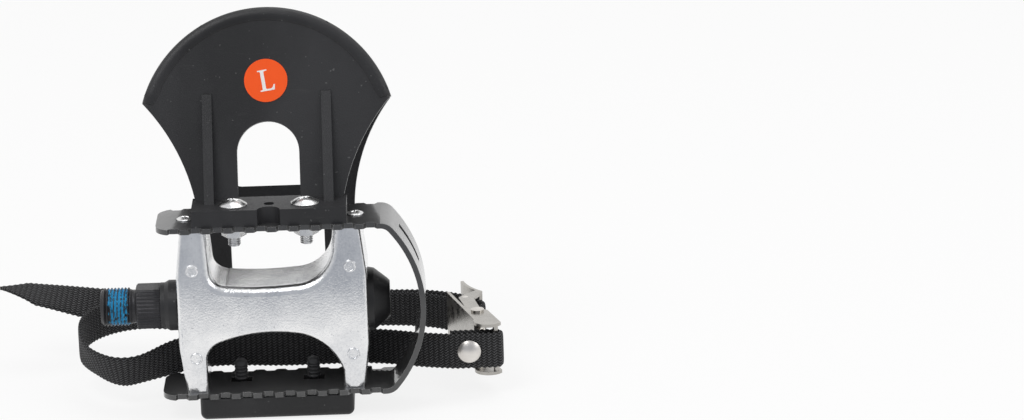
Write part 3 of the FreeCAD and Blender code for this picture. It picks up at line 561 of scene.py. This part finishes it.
def smooth_line(points, step):
    """Even points on the natural cubic spline through the given ones."""
    p = np.array(points, float)
    u = np.concatenate([[0.0], np.cumsum(np.linalg.norm(np.diff(p, axis=0), axis=1))])
    n = len(p)
    h = np.diff(u)
    system = np.eye(n)
    right = np.zeros((n, 3))
    for i in range(1, n - 1):
        system[i, i - 1:i + 2] = h[i - 1], 2.0 * (h[i - 1] + h[i]), h[i]
        right[i] = 6.0 * ((p[i + 1] - p[i]) / h[i] - (p[i] - p[i - 1]) / h[i - 1])
    curve = np.linalg.solve(system, right)
    fine = np.linspace(0.0, u[-1], 12000)
    k = np.clip(np.searchsorted(u, fine) - 1, 0, n - 2)
    a = ((u[k + 1] - fine) / h[k])[:, None]
    b = 1.0 - a
    bow = ((a ** 3 - a) * curve[k] + (b ** 3 - b) * curve[k + 1]) * (h[k] ** 2)[:, None] / 6.0
    line = a * p[k] + b * p[k + 1] + bow
    run = np.concatenate([[0.0], np.cumsum(np.linalg.norm(np.diff(line, axis=0), axis=1))])
    count = int(run[-1] / step)
    even = np.linspace(0.0, run[-1], count)
    return np.stack([np.interp(even, run, line[:, i]) for i in range(3)], axis=1), even


def strap_piece():
    """The webbing as a ridged band. It tilts in its loop, twists along its tail and ends in a slanted tip."""
    half_w, half_t, pitch, slant, tip = 6.8, 0.78, 2.0, 15.0, 0.3
    loop_tilt, tail_twist = math.radians(20.0), math.radians(-78.0)
    loop_x, loop_y, tail, edge_from = MID_X - 36.0, 26.0, 80.0, 85.0
    ridge_w, ridge_t, blunt, points_across = 0.2, 0.06, 0.97, 22
    line, run = smooth_line(strap_route(), 0.3)
    ahead = np.gradient(line, axis=0)
    ahead /= np.linalg.norm(ahead, axis=1)[:, None]
    up = np.tile(np.array([0.0, 0.0, 1.0]), (len(line), 1))
    out = np.cross(ahead, up)
    out /= np.linalg.norm(out, axis=1)[:, None]
    left = run[-1] - run
    loop = smoothstep(loop_x - line[:, 0], 0.0, 18.0) * smoothstep(loop_y - line[:, 1], 0.0, 14.0)
    twist = loop_tilt * loop + tail_twist * smoothstep(tail - left, 0.0, tail)
    near_side = np.linspace(-1.0, 1.0, points_across)
    across = np.concatenate([near_side, np.linspace(1.0, -1.0, points_across)[1:-1]])
    side = np.concatenate([np.ones(points_across), -np.ones(points_across - 2)])
    bulge = np.sqrt(np.clip(1.0 - np.abs(across) ** 7, 0.0, 1.0))
    columns = len(across)
    points, uvs = [], []
    for i in range(len(line)):
        wave = math.cos(2.0 * math.pi * run[i] / pitch)
        width = half_w + ridge_w * wave
        thick = half_t + ridge_t * wave
        cut_low = (1.0 + tip) * np.clip(1.0 - left[i] / slant, 0.0, blunt)
        cut_high = (1.0 - tip) * np.clip(1.0 - left[i] / (0.7 * slant), 0.0, blunt)
        low, high = width * (cut_low - 1.0), width * (1.0 - cut_high)
        pivot = half_w if left[i] < edge_from else 0.0
        c, s = math.cos(twist[i]), math.sin(twist[i])
        for j in range(columns):
            t = (high + low) / 2.0 + (high - low) / 2.0 * across[j] - pivot
            d = side[j] * thick * bulge[j]
            rise, lean = t * c + d * s, d * c - t * s
            points.append((line[i] + up[i] * (rise + pivot) + out[i] * lean) * MM)
            uvs.append((run[i] * MM, (t + pivot + width) * MM))
    faces = [face[::-1] for face in grid_faces(len(line), columns)]
    ends = [tuple(range(columns)), tuple((len(line) - 1) * columns + j for j in reversed(range(columns)))]
    made = new_object("woven_strap", points, faces + ends, WEBBING)
    layer = made.data.uv_layers.new(name="weave")
    corner = np.zeros(len(made.data.loops), dtype=np.int32)
    made.data.loops.foreach_get("vertex_index", corner)
    layer.data.foreach_set("uv", np.array(uvs, dtype=np.float32)[corner].ravel())
    return made


strap = strap_piece()
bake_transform(strap)
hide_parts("strap")


# Toe clip rim, marks and studs

def clip_point(u, v, s):
    """A point of the toe clip: u across, v up the sole plate, s away from its underside."""
    sine, cosine = math.sin(CLIP_LEAN), math.cos(CLIP_LEAN)
    return Vector((MID_X + u, CLIP_FOOT_Y + v * sine + s * cosine, BLOCK_TOP_Z + v * cosine - s * sine)) * MM


def rim_bead():
    """The rounded rim along the toe clip's round edge, oval in section."""
    around, tube, half_w, depth, proud = 180, 24, 2.85, 2.1, 0.9
    corner = math.radians(17.0)
    points = []
    for a in np.linspace(corner, math.pi - corner, around):
        shown = proud * float(smoothstep(math.pi / 2.0 - corner - abs(a - math.pi / 2.0), -0.06, 0.1))
        for j in range(tube):
            b = 2.0 * math.pi * j / tube
            r = FAN_R - half_w + half_w * math.cos(b)
            points.append(clip_point(r * math.cos(a), FAN_CENTRE_V + r * math.sin(a),
                                     depth - shown - depth * math.sin(b)))
    ends = [tuple(range(tube)), tuple((around - 1) * tube + j for j in reversed(range(tube)))]
    return merge(new_object("toe_clip_rim", points, grid_faces(around, tube) + ends, CLIP_PLASTIC))


def side_mark():
    """A plain letter L, the left mark, printed on the round sticker."""
    outline = [(-2.6, -3.9), (2.7, -3.9), (3.1, -1.9), (2.6, -1.9), (2.1, -2.8), (1.5, -3.25), (0.0, -3.25),
               (-0.35, -3.0), (-0.35, 3.2), (0.0, 3.5), (0.9, 3.6), (0.9, 4.0), (-2.6, 4.0), (-2.6, 3.6),
               (-1.9, 3.5), (-1.65, 3.2), (-1.65, -3.0), (-1.9, -3.4), (-2.6, -3.5)]
    tilt = math.radians(8.5)
    rows = []
    for height in (0.22, 0.31):
        for a, b in outline:
            u = a * math.cos(tilt) - b * math.sin(tilt)
            v = a * math.sin(tilt) + b * math.cos(tilt)
            rows.append(clip_point(u, STICKER_V + v, -height))
    n = len(outline)
    faces = [(i, (i + 1) % n, n + (i + 1) % n, n + i) for i in range(n)]
    faces += [tuple(range(n, 2 * n)), tuple(reversed(range(n)))]
    return merge(new_object("left_mark", rows, faces, PRINT, smooth=False))


def mark_rings():
    """A raised rim round each of the body's four plain round marks."""
    around, tube, ring_r, wire_r = 48, 12, 1.95, 0.36
    points, faces = [], []
    for dx in (-MARK_X, MARK_X):
        for z in (-MARK_Z, MARK_Z):
            faces += grid_faces(around, tube, len(points))
            first = len(points)
            for i in range(around):
                a = 2.0 * math.pi * i / around
                for j in range(tube):
                    b = 2.0 * math.pi * j / tube
                    r = ring_r + wire_r * math.cos(b)
                    points.append(Vector((MID_X + dx + r * math.cos(a), MARK_Y - wire_r * math.sin(b),
                                          z + r * math.sin(a))) * MM)
            last = first + (around - 1) * tube
            for j in range(tube):
                k = (j + 1) % tube
                faces.append((last + j, last + k, first + k, first + j))
    return merge(new_object("mark_rims", points, faces, ALUMINIUM))


def stud_ribs():
    """Round ribs and a domed tip on each of the reflector's two studs."""
    turns, foot_z, core, rib, half_h = 48, -30.9, 2.03, 0.47, 0.55
    dome_z, dome_h, dome_r = -25.3, 2.6, 2.45
    rows = [(foot_z, 0.0), (foot_z, core)]
    for middle in (-30.15, -28.75, -27.35, -25.95):
        for a in np.linspace(0.0, math.pi, 9):
            rows.append((middle - half_h * math.cos(a), core + rib * math.sin(a)))
    for t in np.linspace(0.0, 1.0, 14):
        rows.append((dome_z + dome_h * t, dome_r * math.sqrt(1.0 - t ** 3)))
    points, faces = [], []
    for side in (-1, 1):
        faces += grid_faces(len(rows), turns, len(points))
        for z, r in rows:
            for a in np.linspace(0.0, 2.0 * math.pi, turns, endpoint=False):
                points.append(Vector((MID_X + side * STUD_X + r * math.cos(a),
                                      STUD_Y + r * math.sin(a), z)) * MM)
    return merge(new_object("stud_ribs", points, faces, PAINTED_LIGHT_STUD_PLASTIC))


for piece, slot in ((rim_bead(), "black_plastic"), (mark_rings(), "cast_aluminium"),
                    (side_mark(), "orange_film"), (stud_ribs(), "black_plastic")):
    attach(piece, "pedal")


# Stage, lights and camera

# The floor ends at -Y near the pedal, so that the casting mirrors white low down and grey above it
floor_corners = [(x, y, FLOOR_Z) for x, y in ((-FLOOR_REACH, FLOOR_FRONT), (FLOOR_REACH, FLOOR_FRONT),
                                              (FLOOR_REACH, FLOOR_REACH), (-FLOOR_REACH, FLOOR_REACH))]
floor = new_object("floor", floor_corners, [(0, 1, 2, 3)], floor_paint(), smooth=False)


def studio_world():
    """Even white light and a white view. What is mirrored turns grey towards -Y, the underside's side."""
    world = bpy.data.worlds.new("studio")
    bpy.context.scene.world = world
    world.use_nodes = True
    tree = world.node_tree
    tree.nodes.clear()

    def link(a, b):
        tree.links.new(a, b)
    place = tree.nodes.new("ShaderNodeTexCoord")
    axes = tree.nodes.new("ShaderNodeSeparateXYZ")
    link(place.outputs["Generated"], axes.inputs[0])
    side = tree.nodes.new("ShaderNodeMapRange")
    link(axes.outputs[1], side.inputs[0])
    for i, number in enumerate((-0.85, 0.25, 0.0, 1.0)):
        side.inputs[i + 1].default_value = number
    strand_highlight_and_shade = tree.nodes.new("ShaderNodeMix")
    strand_highlight_and_shade.data_type = "RGBA"
    link(side.outputs[0], strand_highlight_and_shade.inputs[0])
    strand_highlight_and_shade.inputs[6].default_value = (0.48, 0.50, 0.54, 1.0)
    strand_highlight_and_shade.inputs[7].default_value = (1.0, 1.0, 1.0, 1.0)
    path = tree.nodes.new("ShaderNodeLightPath")
    ambient = tree.nodes.new("ShaderNodeBackground")
    ambient.inputs["Color"].default_value = (1.0, 1.0, 1.0, 1.0)
    ambient.inputs["Strength"].default_value = 0.5
    mirrored = tree.nodes.new("ShaderNodeBackground")
    link(strand_highlight_and_shade.outputs[2], mirrored.inputs["Color"])
    white = tree.nodes.new("ShaderNodeBackground")
    white.inputs["Color"].default_value = (1.0, 1.0, 1.0, 1.0)
    either = tree.nodes.new("ShaderNodeMath")
    either.operation = "MAXIMUM"
    link(path.outputs["Is Glossy Ray"], either.inputs[0])
    link(path.outputs["Is Transmission Ray"], either.inputs[1])
    first = tree.nodes.new("ShaderNodeMixShader")
    link(either.outputs[0], first.inputs[0])
    link(ambient.outputs[0], first.inputs[1])
    link(mirrored.outputs[0], first.inputs[2])
    second = tree.nodes.new("ShaderNodeMixShader")
    link(path.outputs["Is Camera Ray"], second.inputs[0])
    link(first.outputs[0], second.inputs[1])
    link(white.outputs[0], second.inputs[2])
    out = tree.nodes.new("ShaderNodeOutputWorld")
    link(second.outputs[0], out.inputs["Surface"])


def soft_light(name, place, aim, size, power):
    data = bpy.data.lights.new(name, "AREA")
    data.shape = "DISK"
    data.size = size
    data.energy = power
    made = bpy.data.objects.new(name, data)
    made.location = place
    made.rotation_euler = (Vector(aim) - Vector(place)).to_track_quat("-Z", "Y").to_euler()
    bpy.context.scene.collection.objects.link(made)


def photo_camera():
    """The camera fitted to the photograph, whose focal length is given in its pixels."""
    az, el, roll = math.radians(-0.87), math.radians(16.83), math.radians(-1.68)
    place, focal_px, photo_w, sensor = (0.1198, -1.451, 0.4713), 4110.0, 1024.0, 36.0
    back = Vector((math.sin(az) * math.cos(el), -math.cos(az) * math.cos(el), math.sin(el)))
    right = (-back).cross(Vector((0.0, 0.0, 1.0))).normalized()
    up = right.cross(-back)
    right, up = (right * math.cos(roll) + up * math.sin(roll), up * math.cos(roll) - right * math.sin(roll))
    data = bpy.data.cameras.new("photo_camera")
    data.sensor_fit = "HORIZONTAL"
    data.sensor_width = sensor
    data.lens = focal_px * sensor / photo_w
    data.clip_start = 0.05
    made = bpy.data.objects.new("photo_camera", data)
    turn = Matrix((right, up, back)).transposed().to_4x4()
    made.matrix_world = Matrix.Translation(place) @ turn
    bpy.context.scene.collection.objects.link(made)
    bpy.context.scene.camera = made


studio_world()
soft_light("key_light", (-0.55, -0.75, 1.35), AIM, 1.0, 9.0)
soft_light("top_light", (0.35, 0.35, 1.5), AIM, 1.2, 6.0)
soft_light("side_light", (1.2, -0.6, 0.7), AIM, 0.7, 2.5)
photo_camera()
bpy.context.scene.view_settings.view_transform = "Standard"
